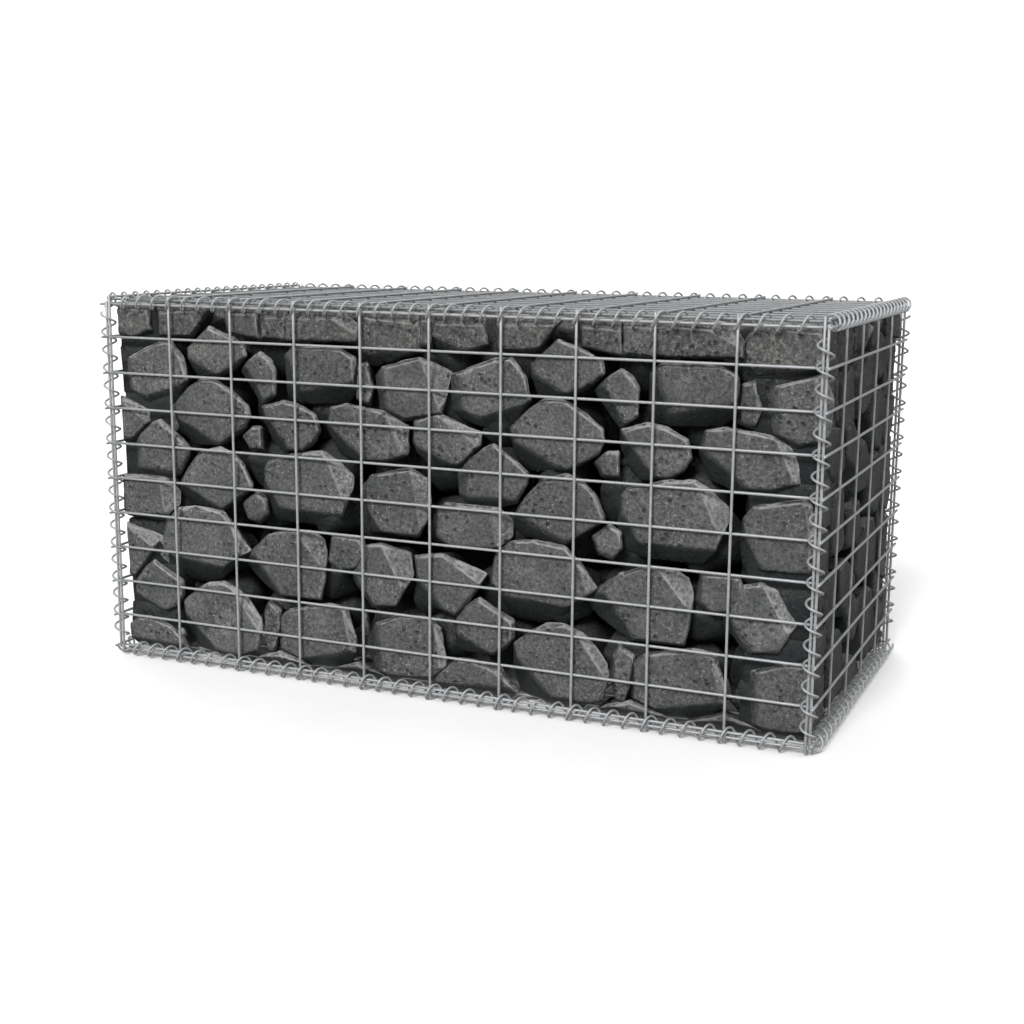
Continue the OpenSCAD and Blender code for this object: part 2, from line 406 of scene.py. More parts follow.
def add_bead(shape, centre, normal, rng):
    """The squeezed-out metal round a weld, a flat button between the two wires."""
    wide = rng.uniform(2.0, 2.5) * MM
    flat = rng.uniform(0.9, 1.2) * MM
    rings, sides = 4, 8
    verts = []
    for i in range(1, rings):
        tilt = math.pi * i / rings
        for j in range(sides):
            turn = 2 * math.pi * j / sides
            p = [wide * math.sin(tilt) * math.cos(turn), wide * math.sin(tilt) * math.sin(turn)]
            p.insert(normal, flat * math.cos(tilt))
            verts.append([c + q for c, q in zip(centre, p)])
    faces = []
    for i in range(rings - 2):
        for j in range(sides):
            k = (j + 1) % sides
            faces.append((i * sides + j, (i + 1) * sides + j, (i + 1) * sides + k, i * sides + k))
    faces.append(tuple(range(sides)))
    faces.append(tuple((rings - 2) * sides + j for j in range(sides))[::-1])
    if normal == 1:
        faces = [f[::-1] for f in faces]
    shape.add(verts, faces, dusty=np.zeros(len(verts)))


def panel(name, material, normal, first, second):
    """A welded panel. first and second are its two layers: (axis, offset along the normal, places)."""
    lo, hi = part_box(name)
    rng = random.Random(name)
    shape = Shape()
    for (axis, depth, rows), other in ((first, second), (second, first)):
        trim = WIRE_TRIM if axis == 0 and normal == 2 else 0
        ats = []
        for row in rows:
            at = [0.0, 0.0, 0.0]
            at[normal] = depth
            at[other[0]] = row
            ats.append(at)
        # Painted shade on the lid's long wires only
        dusty = 1.0 if name == "lid_mesh" and axis == 0 else 0.0
        add_bars(shape, axis, (lo[axis] + trim, hi[axis] - trim), ats, rng, dusty)
    for a in first[2]:
        for b in second[2]:
            centre = [0.0, 0.0, 0.0]
            centre[normal] = (first[1] + second[1]) / 2
            centre[second[0]] = a
            centre[first[0]] = b
            add_bead(shape, centre, normal, rng)
    place(shape.build("wires_" + name, material), [name])


def build_panels(material):
    mid_z = CENTRE.z
    front_lo, front_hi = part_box("front_mesh")
    right_lo, right_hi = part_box("right_end_mesh")
    lid_lo, lid_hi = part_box("lid_mesh")
    base_lo, base_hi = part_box("base_mesh")
    levels = [mid_z + z for z in places(BASKET_HALF.z, LEVEL_PITCH, LAST_LEVEL)]
    uprights = places(BASKET_HALF.x, UPRIGHT_PITCH, BASKET_HALF.x)
    end_uprights = places(BASKET_HALF.y, UPRIGHT_PITCH, LAST_END_UPRIGHT)
    long_rows = places(BASKET_HALF.y, LEVEL_PITCH, LAST_LONG_ROW)
    cross_rows = places(BASKET_HALF.x, UPRIGHT_PITCH, LAST_CROSS_ROW)
    for name, side in (("front_mesh", 1), ("back_mesh", -1)):
        outer = side * (front_lo.y + WIRE_R)
        inner = side * (front_hi.y - WIRE_R)
        panel(name, material, 1, (2, outer, uprights), (0, inner, levels))
    for name, side in (("right_end_mesh", 1), ("left_end_mesh", -1)):
        inner = side * (right_lo.x + WIRE_R)
        outer = side * (right_hi.x - WIRE_R)
        panel(name, material, 0, (2, inner, end_uprights), (1, outer, levels))
    lid_long, lid_cross = lid_lo.z + WIRE_R, lid_hi.z - WIRE_R
    panel("lid_mesh", material, 2, (0, lid_long, long_rows), (1, lid_cross, cross_rows))
    base_long, base_cross = base_hi.z - WIRE_R, base_lo.z + WIRE_R
    panel("base_mesh", material, 2, (0, base_long, long_rows), (1, base_cross, cross_rows))


# ---------------------------------------------------------------- spiral binders


def lean():
    """How far a turn is rotated so that it passes beside the wire it laces and not through it."""
    slope = math.atan(SPIRAL_ADVANCE / (2 * math.pi * SPIRAL_R))
    return 360 * (LACED_R + SPIRAL_WIRE_R + LACE_GAP) / math.cos(slope) / SPIRAL_ADVANCE


def spiral(name, material, axis, phase, shift):
    """A left-handed helix the length of its CAD node. phase holds at shift before the middle."""
    lo, hi = (Vector(v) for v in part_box(name))
    centre = middle(lo, hi)
    reach = (hi[axis] - lo[axis]) / 2 - SPIRAL_WIRE_R
    turns = 2 * reach / SPIRAL_ADVANCE
    steps = round(turns * SPIRAL_STEPS)
    one, two = (axis + 1) % 3, (axis + 2) % 3
    path = np.zeros((steps + 1, 3))
    for i in range(steps + 1):
        h = -reach + 2 * reach * i / steps
        angle = math.radians(phase - 360 * (h + shift) / SPIRAL_ADVANCE)
        path[i, axis] = centre[axis] + h
        path[i, one] = centre[one] + SPIRAL_R * math.cos(angle)
        path[i, two] = centre[two] + SPIRAL_R * math.sin(angle)
    radii = np.full(steps + 1, SPIRAL_WIRE_R)
    radii[0] = radii[-1] = SPIRAL_WIRE_R * 0.7
    across = [0, 0, 0]
    across[axis] = 1
    shape = Shape()
    shape.add(*tube(path, radii, across, SPIRAL_SIDES))
    place(shape.build("coil_" + name, material), [name])


def angle_to(x, y):
    return math.degrees(math.atan2(y, x))


def build_spirals(material):
    def far(d):
        return math.sqrt(SPIRAL_R**2 - d**2)

    for face, side in (("front", -1), ("back", 1)):
        for edge, level in (("bottom", -1), ("top", 1)):
            at_wire = angle_to(side * LONG_SPIRAL_OFF, -level * far(LONG_SPIRAL_OFF))
            phase = at_wire + side * level * lean()
            spiral(f"spiral_{face}_{edge}", material, 0, phase, BASKET_HALF.x)
        for end, hand in (("left", -1), ("right", 1)):
            at_wire = angle_to(-hand * far(CORNER_SPIRAL_OFF), -side * CORNER_SPIRAL_OFF)
            phase = at_wire - hand * side * lean()
            spiral(f"spiral_{face}_{end}_corner", material, 2, phase, BASKET_HALF.z)
    for end, hand in (("left", -1), ("right", 1)):
        for edge, level in (("bottom", -1), ("top", 1)):
            at_wire = angle_to(-level * far(END_SPIRAL_OFF), -hand * END_SPIRAL_OFF)
            phase = at_wire - hand * level * lean()
            spiral(f"spiral_{end}_{edge}", material, 1, phase, BASKET_HALF.y)


# ---------------------------------------------------------------- stone


# The stones of one repeat of the pattern. Each outline goes round in centimetres, across and up. Then come
# the facets, each a line on the stone's front beyond which it slopes back to its outline, and the finish.
PATTERN = [
    ("T4", [(0, 45.4), (0, 49.9), (4.2, 49.9), (4, 45.3)],
     [], "rough"),
    ("T5", [(4, 45.4), (4, 48.6), (7.5, 49.9), (12.6, 49.9), (15.2, 47.8), (15, 45.6)],
     [((9, 49.5), (15, 46.5))], "rough"),
    ("T6", [(15.2, 43.3), (15.2, 47.5), (16.4, 49.9), (20, 49.9), (23.6, 49.9), (24.6, 47.6),
          (24.4, 44.8), (19.5, 43.2), (17.4, 42.6)],
     [((15.2, 44.4), (22, 44.6))], "rough"),
    ("A6", [(14.9, 38), (15, 42.6), (16.6, 43), (17.3, 40), (16.8, 37.4)],
     [], "rough"),
    ("T7", [(24.2, 45.3), (24.4, 49.9), (26.6, 49.9), (26, 45.3)],
     [], "rough"),
    ("T8", [(25.8, 46.2), (26.4, 49.9), (33.4, 49.9), (34, 46), (31.4, 45.1), (28.5, 44.9)],
     [((26, 47), (30, 45.4))], "rough"),
    ("T2", [(35.4, 45.3), (35.2, 49.9), (44.4, 49.9), (42.3, 47.4), (40.8, 45.4)],
     [], "rough"),
    ("T3", [(46.8, 46.2), (46.2, 49.9), (51.6, 49.9), (52, 45.3)],
     [], "dark"),
    ("A4", [(3.8, 43.3), (5, 44.5), (10, 44.8), (12.5, 44.5), (14.7, 43.5), (14.7, 39), (13, 37.5),
          (6.5, 37.2), (3.8, 37.7)],
     [((4.5, 43.8), (6.7, 38.4)), ((6, 38.8), (14.7, 40.5))], "plain"),
    ("A3", [(48.5, 41), (50, 42.5), (52, 43.7), (53.5, 42.7), (54.3, 41.5), (54.2, 38), (52, 36.5),
          (51.8, 38.5), (49.5, 40)],
     [((49.5, 42.3), (52.4, 37.6))], "plain"),
    ("A5", [(17.8, 41.3), (19, 42.5), (24.3, 44), (28.7, 42.3), (28, 39), (27.3, 36.8), (22, 35.7),
          (20, 36.5), (18.3, 37)],
     [((19.2, 42.5), (19.9, 36.6)), ((24.3, 44), (27, 37.5))], "plain"),
    ("A1", [(28.2, 42), (30, 42), (35, 44.2), (37.3, 44.5), (39.2, 42.2), (39.9, 39.3), (37.5, 35.7),
          (33, 35.7), (28, 37.3)],
     [((30, 42.2), (30.8, 38.2)), ((30.5, 37.6), (33.3, 36.9)), ((33, 36.9), (39.8, 39.1))], "plain"),
    ("A2", [(40.2, 42.3), (40, 43.8), (41.5, 45), (43.7, 46.9), (48, 45.3), (49.5, 44.5), (49.7, 43),
          (47.5, 41.2), (45.2, 40.2), (41.2, 40)],
     [((40, 42.9), (45.4, 40.2))], "plain"),
    ("B2", [(0.1, 36.3), (3.5, 37.2), (6, 36.8), (8.5, 35.7), (9.2, 33.5), (8, 31.7), (6.5, 30.7),
          (3, 30.3), (1.5, 32), (0.3, 34)],
     [((0.6, 35.6), (4.6, 30.9))], "plain"),
    ("B3", [(10.2, 34), (10.8, 36.8), (13.5, 37.4), (15.6, 36.2), (19, 36.6), (22.6, 35), (22.4, 31.2),
          (19, 30), (15, 29.9), (12, 30.8)],
     [((10, 35), (15.6, 30.9)), ((19, 36.6), (21.8, 31))], "plain"),
    ("B0", [(23.5, 35.7), (27, 36.8), (33, 34.8), (33, 33), (32, 32.3), (30, 30.3), (26, 30),
          (24, 31.5), (23.3, 33)],
     [((26.6, 36.7), (32.6, 33)), ((23.8, 32.6), (29, 30.6))], "plain"),
    ("B1", [(37.2, 35.5), (40, 38.3), (42, 39.5), (44.5, 39.5), (47.3, 38), (49.7, 36.3), (50, 34.8),
          (49, 33), (46, 31.2), (45, 30.7), (40.3, 30.3), (38, 32), (37.7, 34)],
     [((37.6, 34.3), (44.8, 30.9))], "plain"),
    ("B5", [(48.8, 32), (50.3, 33.3), (51.8, 33.5), (52, 30.3), (49.8, 30.3)],
     [], "plain"),
    ("C1", [(29.7, 29.5), (31.6, 31.3), (33.5, 32.7), (35, 33.4), (36.5, 32), (38, 31.3), (39.8, 29.8),
          (39.5, 28.5), (38, 26), (35, 25), (31.5, 25.2), (30, 26.5)],
     [((31.6, 31.6), (31.4, 26)), ((31, 26.5), (38.5, 26.6))], "plain"),
    ("C2", [(38.3, 25), (39.5, 27), (41.8, 29.3), (45, 30.2), (47, 29.5), (48.8, 28), (50, 25.5),
          (50, 24.7), (47.5, 23.2), (45, 21.3), (38, 21.8), (38, 24)],
     [((38.2, 24.8), (45, 21.8))], "plain"),
    ("C3", [(0.2, 28), (1, 29), (6, 30.3), (9.5, 30.7), (11.5, 29.7), (14, 27.7), (14, 26), (12.3, 22),
          (11, 20.4), (4, 20.6), (0.3, 20.8), (0, 24.8)],
     [((9.7, 30.6), (12.4, 24.8)), ((0.4, 26.5), (3.4, 21.6)), ((2, 22.6), (12.4, 22.6))], "plain"),
    ("C4", [(15.8, 26.5), (17, 28), (21, 29), (23, 29.3), (25.5, 28), (25.7, 25), (25, 22.5),
          (24, 20.3), (16.3, 20.3), (15.8, 23)],
     [((23, 29.3), (24.3, 21)), ((16.1, 24.5), (18.5, 20.6))], "plain"),
    ("C0", [(26.8, 20.5), (26.8, 24), (28, 25.2), (35.5, 25.2), (37.6, 23.5), (37.5, 21.5),
          (35.5, 19.8), (29, 19.3)],
     [((34.4, 25.2), (35.4, 19.9))], "plain"),
    ("D1", [(34.5, 15.2), (35.3, 19), (37.5, 21), (40.5, 21.4), (45, 21), (47, 19), (49.4, 15.9),
          (47.8, 14.8), (44.7, 12.8), (44.3, 11.3), (41.5, 10.3), (38, 10.5), (36, 14)],
     [((35.8, 13.9), (45.5, 13.3)), ((46, 20.3), (47.9, 15))], "plain"),
    ("D2", [(48.7, 22.5), (50.8, 24.3), (52.3, 23.5), (52.5, 21.5), (51.3, 20), (49.5, 20.5)],
     [], "plain"),
    ("D3", [(48.2, 14.8), (52, 16.8), (52.5, 18.2), (55.5, 19.4), (59.3, 19.5), (61.3, 18.5),
          (61.8, 16.5), (61.6, 13.5), (60.8, 10), (54, 10), (51, 11.5), (48.3, 13.5)],
     [((57, 19.5), (61, 14.8)), ((50.3, 15.8), (54.6, 10.3))], "plain"),
    ("D4a", [(10.3, 15.8), (10.8, 19.4), (15.5, 19.3), (16, 17.5), (14.5, 15), (12, 14.5)],
     [], "plain"),
    ("D4b", [(14, 14.8), (16, 18.2), (18.3, 18.8), (22.6, 17.8), (23, 14.8), (22.3, 13.8), (20.5, 10.5),
          (17, 10), (15.8, 11.5), (14, 13.3)],
     [((18.4, 18.8), (21.6, 13)), ((14.4, 14.6), (17.6, 10.4))], "plain"),
    ("D5", [(23.5, 17.7), (27.8, 18.3), (34, 16.3), (33, 14.5), (31, 12), (29.5, 10.2), (26.5, 11),
          (24, 13.5)],
     [((27.4, 18.1), (33.1, 14.8)), ((23.8, 15), (28, 11))], "plain"),
    ("E1", [(29.6, 8), (29.7, 9.8), (31, 11.5), (33, 12.9), (37.8, 10.4), (37.7, 8), (36.5, 6.5),
          (34.8, 5.5), (29.6, 5.3)],
     [((29.8, 8), (35, 5.8))], "plain"),
    ("E2", [(38, 7.5), (40.3, 9.3), (42.5, 10.5), (45, 10.8), (47.3, 10), (49, 8.5), (50.8, 6.2),
          (51, 4.7), (50.3, 1.5), (47.5, 0.5), (43.5, 0.3), (39, 0.3), (38, 4)],
     [((38.4, 6), (43.6, 1)), ((46, 10.4), (50.4, 4.6))], "plain"),
    ("E3", [(52.4, 9), (54.4, 7.8), (54.1, 5), (53.2, 1.7), (52, 2), (51.6, 5), (51.6, 7.3)],
     [], "rough"),
    ("E4", [(2.4, 7), (4, 8.2), (10, 9.7), (13, 9.3), (14.3, 5), (14.2, 3.2), (12.5, 0.5), (7, 0.5),
          (2.3, 2.3)],
     [((12.3, 9.4), (13.4, 3.6)), ((4.5, 1.4), (14.1, 3.7))], "plain"),
    ("E5", [(16.5, 6), (17.5, 7.7), (21.5, 9.3), (25.8, 9.4), (27.2, 8.2), (28, 4), (27.8, 3),
          (26, 1.3), (20, 0.5), (17.5, 1.2), (15.7, 4)],
     [((18, 7.8), (18.6, 1)), ((26, 9.4), (27, 2.4))], "plain"),
    ("F1", [(26, 0.5), (27, 2), (30, 4.2), (32, 4.3), (35.5, 3.4), (37.8, 1.5), (38.5, 0),
          (26.5, -0.4)],
     [], "plain"),
    ("F2", [(-2.5, 0), (-1, 0.8), (2, 1.7), (5, 1), (8, 0), (7.5, -0.4), (-2, -0.4)],
     [], "plain"),
    ("F3", [(8.5, -0.3), (12.8, 0.3), (14.5, 1.7), (16, 1.2), (19, 0.4), (18.5, -0.4)],
     [], "dark"),
]

# The darkest and the palest tone of each finish, and how rough its relief is.
FINISH = {"plain": (0.3, 0.75, 1.0), "rough": (0.0, 0.4, 2.6), "dark": (0.0, 0.2, 1.3)}

# Each face of the basket: the directions across it, up it and into it.
FACES = {
    "front": ((1, 0, 0), (0, 0, 1), (0, 1, 0)),
    "back": ((-1, 0, 0), (0, 0, 1), (0, -1, 0)),
    "right": ((0, 1, 0), (0, 0, 1), (-1, 0, 0)),
    "left": ((0, -1, 0), (0, 0, 1), (1, 0, 0)),
    "top": ((1, 0, 0), (0, 1, 0), (0, 0, -1)),
    "bottom": ((1, 0, 0), (0, -1, 0), (0, 0, 1)),
}

# How the pattern lies on each face: span and reach_up say how far from the face's middle it goes, start
# where a repeat begins and fine how long the edges of its mesh are near the face. skew moves the deeper
# points of a stone to the left and down.
LAYOUT = {
    "front": dict(span=HALF.x, reach_up=HALF.z, start=-TILE / 2, fine=5.5 * MM, skew=(0.40, 0.15)),
    "back": dict(span=HALF.x, reach_up=HALF.z, start=0.0, fine=10 * MM),
    # paler darkens the ends' stones, and on the right end paler and least are painted shade on that end
    "right": dict(span=END_SPAN, reach_up=HALF.z, start=-0.62 * TILE, fine=8 * MM, short=END_SHORT,
                  paler=0.2, least=0.35),
    "left": dict(span=END_SPAN, reach_up=HALF.z, start=-0.12 * TILE, fine=10 * MM, short=END_SHORT,
                 paler=0.6),
    "top": dict(span=LID_SPAN, reach_up=178 * MM, start=-0.3 * TILE, fine=10 * MM),
    "bottom": dict(span=LID_SPAN, reach_up=165 * MM, start=-0.8 * TILE, fine=13 * MM),
}


def fill_planes():
    """The fill's six sides and its twelve bevels, as outward normals and distances from its centre."""
    planes = []
    for axis in range(3):
        for sign in (-1, 1):
            normal = [0, 0, 0]
            normal[axis] = sign
            planes.append((Vector(normal), HALF[axis]))
    root = math.sqrt(2)
    for axis, room in ((0, ROOM_ALONG_X), (1, ROOM_ALONG_Y), (2, ROOM_UPRIGHT)):
        one, two = (axis + 1) % 3, (axis + 2) % 3
        for a in (-1, 1):
            for b in (-1, 1):
                normal = [0, 0, 0]
                normal[one], normal[two] = a / root, b / root
                planes.append((Vector(normal), (HALF[one] + HALF[two] - room) / root))
    return planes


PLANES = fill_planes()


def cut_to_fill(bm, rng, extra):
    """Cuts a stone where it stands past the fill's planes or the extra ones, each time at a slight tilt."""
    for normal, distance in [*PLANES, *extra]:
        if max((v.co - CENTRE).dot(normal) for v in bm.verts) <= distance - CUT_SLACK:
            continue
        tilt = Vector([rng.uniform(-0.05, 0.05) for _ in range(3)])
        facing = (normal + tilt).normalized()
        inset = rng.uniform(0.5, 3.5) * MM
        spot = max(bm.verts, key=lambda v: (v.co - CENTRE).dot(normal)).co.copy()
        spot -= normal * ((spot - CENTRE).dot(normal) - distance + inset)
        whole = bm.verts[:] + bm.edges[:] + bm.faces[:]
        cut = bmesh.ops.bisect_plane(bm, geom=whole, plane_co=spot, plane_no=facing, clear_outer=True)
        rim = [e for e in cut["geom_cut"] if isinstance(e, bmesh.types.BMEdge)]
        if rim:
            bmesh.ops.edgeloop_fill(bm, edges=rim)


def refine(bm, limit):
    """Splits edges until none is longer than limit says for its middle."""
    for _ in range(7):
        long_edges = [e for e in bm.edges if e.calc_length() > limit(middle(e.verts[0].co, e.verts[1].co))]
        if not long_edges:
            break
        bmesh.ops.subdivide_edges(bm, edges=long_edges, cuts=1, use_grid_fill=False)
        bmesh.ops.triangulate(bm, faces=[f for f in bm.faces if len(f.verts) > 3])


def edge_wear(points, edges):
    """1 on a stone's sharp edges, falling to 0 within a few millimetres."""
    best = np.full(len(points), 1.0)
    for a, b in edges:
        along = b - a
        t = np.clip(((points - a) @ along) / (along @ along), 0, 1)
        best = np.minimum(best, np.linalg.norm(points - (a + t[:, None] * along), axis=1))
    return np.exp(-((best / WEAR_REACH) ** 2))


def weather(points, normals, wear, rough, seed):
    """Broken-stone relief: long undulations, a granular face and chips off the edges."""
    moved = points.copy()
    for i, (p, n, w) in enumerate(zip(points, normals, wear)):
        q = Vector(p) + seed
        rise = 1.3 * noise.noise(q * 22)
        rise += rough * 0.7 * noise.noise(q * 75)
        rise += rough * 0.4 * noise.noise(q * 170)
        chip = w * max(0.0, noise.noise(q * 48) - 0.05) * 3.2
        moved[i] = p + n * (rise - chip) * MM
    return moved


def looking_out(points, normals):
    """1 where a surface lies against one of the fill's six sides and faces out of it."""
    found = np.zeros(len(points))
    for normal, distance in PLANES[:6]:
        facing = np.array(normal)
        near = (points - np.array(CENTRE)) @ facing > distance - SKIN
        found = np.maximum(found, near * np.clip((normals @ facing - 0.6) / 0.3, 0, 1))
    return found


def bevelled_hull(points, width, rng, extra):
    """The hull of points, cut to the fill and bevelled, and its edges as they were before the bevel."""
    bm = bmesh.new()
    for p in points:
        bm.verts.new(p)
    bmesh.ops.remove_doubles(bm, verts=bm.verts[:], dist=CLOSE_POINTS)
    bmesh.ops.convex_hull(bm, input=bm.verts[:])
    bmesh.ops.delete(bm, geom=[v for v in bm.verts if not v.link_faces], context="VERTS")
    cut_to_fill(bm, rng, extra)
    bmesh.ops.dissolve_limit(bm, angle_limit=math.radians(5), verts=bm.verts[:], edges=bm.edges[:])
    bmesh.ops.remove_doubles(bm, verts=bm.verts[:], dist=CLOSE_CORNERS)
    edges = [(np.array(e.verts[0].co), np.array(e.verts[1].co)) for e in bm.edges]
    sharp = bm.edges[:] + bm.verts[:]
    bmesh.ops.bevel(bm, geom=sharp, offset=width, segments=1, profile=0.5, affect="EDGES",
                    clamp_overlap=True)
    bmesh.ops.triangulate(bm, faces=bm.faces[:])
    return bm, edges


def kept_in(points):
    """points, with those that stand past the fill's planes moved back onto them."""
    for normal, distance in PLANES:
        out = (points - np.array(CENTRE)) @ np.array(normal) - distance
        points -= np.clip(out, 0, None)[:, None] * np.array(normal)
    return points


def rock(shape, points, limit, rng, finish, width, light, rim, glint,
         extra=(), shade=0.0, paler=1.0, least=0.0):
    """Adds one stone, the bevelled and weathered hull of points, to shape.

    Its side that looks towards light is left unshaded and the rest gets painted shade; its facets that look
    towards glint get a painted highlight; its worn edges are palest towards rim, real wear with a painted
    highlight.
    shade is the least painted shade where it doesn't look out of the fill, least the least painted shade
    anywhere, and paler scales its tone.
    """
    bm, edges = bevelled_hull(points, width, rng, extra)
    refine(bm, limit)
    bm.normal_update()
    pts = np.array([v.co for v in bm.verts])
    normals = np.array([v.normal for v in bm.verts])
    low, high, rough = FINISH[finish]
    tone = paler * rng.uniform(low, high)
    # Real edge wear, kept mostly to the edges that look towards rim: partly a painted highlight
    wear = edge_wear(pts, edges) * np.clip(-0.2 + 2.2 * normals @ np.array(rim), 0.08, 1)
    seed = Vector([rng.uniform(-9, 9) for _ in range(3)])
    moved = kept_in(weather(pts, normals, wear, rough, seed))
    # Painted shade: darker where the stone looks away from light, eased where it looks out of the fill
    damp = np.clip((0.46 - normals @ np.array(light)) / 0.42, shade, 1)
    damp = np.maximum(damp * (1 - 0.85 * looking_out(moved, normals)), least)
    # Painted highlight on the facets that look towards glint
    lit = np.clip((normals @ np.array(glint) - 0.2) / 0.3, 0, 1)
    tones = np.full(len(pts), tone)
    grit = np.full(len(pts), 1.0 if finish == "rough" else 0.0)
    bm.verts.index_update()
    faces = [tuple(v.index for v in f.verts) for f in bm.faces]
    shape.add(moved, faces, tone=tones, grit=grit, wear=wear, damp=damp, lit=lit)
    bm.free()


def beyond(point, line, mid):
    """How far point lies beyond line, away from mid, in the pattern's units, and which way that is."""
    (x0, z0), (x1, z1) = line
    length = math.hypot(x1 - x0, z1 - z0)
    nx, nz = (z1 - z0) / length, (x0 - x1) / length
    if (mid[0] - x0) * nx + (mid[1] - z0) * nz > 0:
        nx, nz = -nx, -nz
    return (point[0] - x0) * nx + (point[1] - z0) * nz, (nx, nz)


def clipped(outline, line, mid):
    """The part of an outline on mid's side of line."""
    kept = []
    for i, p in enumerate(outline):
        q = outline[(i + 1) % len(outline)]
        dp, dq = beyond(p, line, mid)[0], beyond(q, line, mid)[0]
        if dp <= 0:
            kept.append(p)
        if (dp > 0) != (dq > 0):
            t = dp / (dp - dq)
            kept.append((p[0] + t * (q[0] - p[0]), p[1] + t * (q[1] - p[1])))
    return kept


def facet_slope(outward):
    """A facet that looks down or to the left is steep, and one that looks up or to the right is flatter."""
    return FLAT_FACET if 0.5 * outward[0] + 0.8 * outward[1] > 0 else STEEP_FACET


def laid_stone(outline, facets, rng, origin, across, up, into, deep, skew):
    """Points of a stone laid against a face: its front facet, its widest ring and its tapering back."""
    mid = np.mean(np.array(outline), axis=0)
    front_depth = rng.uniform(1.0, 4.0) * MM
    tilt = (rng.uniform(-0.04, 0.04), rng.uniform(-0.04, 0.04))
    back = rng.uniform(0.66, 0.8)
    points = []

    def put(x, z, depth):
        x -= skew[0] * depth / CM
        z -= skew[1] * depth / CM
        points.append(origin + Vector(across) * x * CM + Vector(up) * z * CM + Vector(into) * depth)

    front = []
    for x, z in outline:
        size = math.hypot(x - mid[0], z - mid[1])
        pull = 1 - rng.uniform(0.15, 0.5) / size
        front.append((mid[0] + (x - mid[0]) * pull, mid[1] + (z - mid[1]) * pull))
    for line in facets:
        front = clipped(front, line, mid)
    for x, z in front:
        lift = (tilt[0] * (x - mid[0]) + tilt[1] * (z - mid[1])) * CM
        put(x, z, front_depth + max(0, lift))
    for x, z in outline:
        grown = 1 + OVERLAP / math.hypot(x - mid[0], z - mid[1])
        gx, gz = mid[0] + (x - mid[0]) * grown, mid[1] + (z - mid[1]) * grown
        depth = front_depth + rng.uniform(6, 12) * MM
        for line in facets:
            past, outward = beyond((gx, gz), line, mid)
            depth = max(depth, front_depth + facet_slope(outward) * past * CM)
        put(gx, gz, depth)
        taper = back * rng.uniform(0.9, 1.05)
        put(mid[0] + (x - mid[0]) * taper, mid[1] + (z - mid[1]) * taper, deep * rng.uniform(0.85, 1.1))
    return points


def face_frame(face):
    """The foot of a face's middle, where the pattern stands, and its three directions."""
    across, up, into = (Vector(v) for v in FACES[face])
    half_up = abs(up.dot(HALF))
    half_in = abs(into.dot(HALF))
    origin = CENTRE - into * half_in - up * (half_up - BED)
    return origin, across, up, into


def lift_of(points, lower, upper):
    """The lift's shape that a stone with these points belongs to, by their mean height."""
    return lower if sum(p.z for p in points) / len(points) < CENTRE.z else upper


def lay_face(face, lower, upper, span, reach_up, start, fine,
             skew=(0, 0), short=0.0, paler=1.0, least=0.0):
    """Lays the pattern over a face, span to either side of its middle, into the two lifts' shapes."""
    origin, across, up, into = face_frame(face)
    half_up = abs(up.dot(HALF))
    # Painted light: the side towards light escapes painted shade, facets towards glint get a painted
    # highlight, edges towards rim the palest wear
    light = 0.45 * across + 0.62 * up - 0.64 * into
    if face == "top":
        light = Vector((0.35, -0.3, 0.85))
    rim = 0.55 * across + 0.83 * up
    glint = 0.88 * across + 0.47 * up
    stop = abs(across.dot(HALF)) - short
    ends = [(across, stop), (-across, stop)] if short else []

    def limit(p):
        return fine if (p - origin).dot(into) < SHALLOW else DEEP_EDGE

    for repeat in REPEATS:
        shift = start + repeat * TILE
        for name, outline, facets, finish in PATTERN:
            mid = np.mean(np.array(outline), axis=0)
            x = mid[0] * CM + shift
            z = mid[1] * CM + BED - half_up
            wide = (max(p[0] for p in outline) - min(p[0] for p in outline)) * CM / 2
            if abs(x) > span + 0.5 * wide or abs(z) > reach_up:
                continue
            rng = random.Random(f"{face} {name} {repeat}")
            deep = rng.uniform(70, 100) * MM
            foot = origin + across * shift
            points = laid_stone(outline, facets, rng, foot, across, up, into, deep, skew)
            width = rng.uniform(1.0, 2.0) * MM
            rock(lift_of(points, lower, upper), points, limit, rng, finish, width, light, rim, glint,
                 ends, paler=paler, least=least)


def boulder_points(centre, radii, rng):
    """Points spread over a lumpy ellipsoid, each a golden angle round from the last."""
    points = []
    for i in range(BOULDER_POINTS):
        z = 1 - 2 * (i + 0.5) / BOULDER_POINTS
        turn = GOLDEN_ANGLE * i + rng.uniform(-0.4, 0.4)
        flat = math.sqrt(1 - z * z)
        reach = rng.uniform(0.82, 1.0)
        direction = Vector((flat * math.cos(turn), flat * math.sin(turn), z)) * reach
        points.append(centre + Vector([d * r for d, r in zip(direction, radii)]))
    return points


def corner_points(centre, half, rng):
    """A roughly squared stone: a box with its corners knocked about."""
    points = []
    for sx in (-1, 1):
        for sy in (-1, 1):
            for sz in (-1, 1):
                corner = (sx * half[0], sy * half[1], sz * half[2])
                points.append(centre + Vector([c * rng.uniform(0.9, 1.0) for c in corner]))
    return points


def heart_stone(points, lower, upper, rng, finish, shade):
    """Adds a stone of the heart: coarse, with a darker tone and painted shade all over, so that the gaps
    between the face stones read dark, and no painted highlight.
    """
    rock(lift_of(points, lower, upper), points, lambda p: HEART_EDGE, rng, finish, HEART_BEVEL,
         light=(0, 0, 1), rim=(0, 0, 1), glint=(0, 0, 0), shade=shade, paler=0.3)


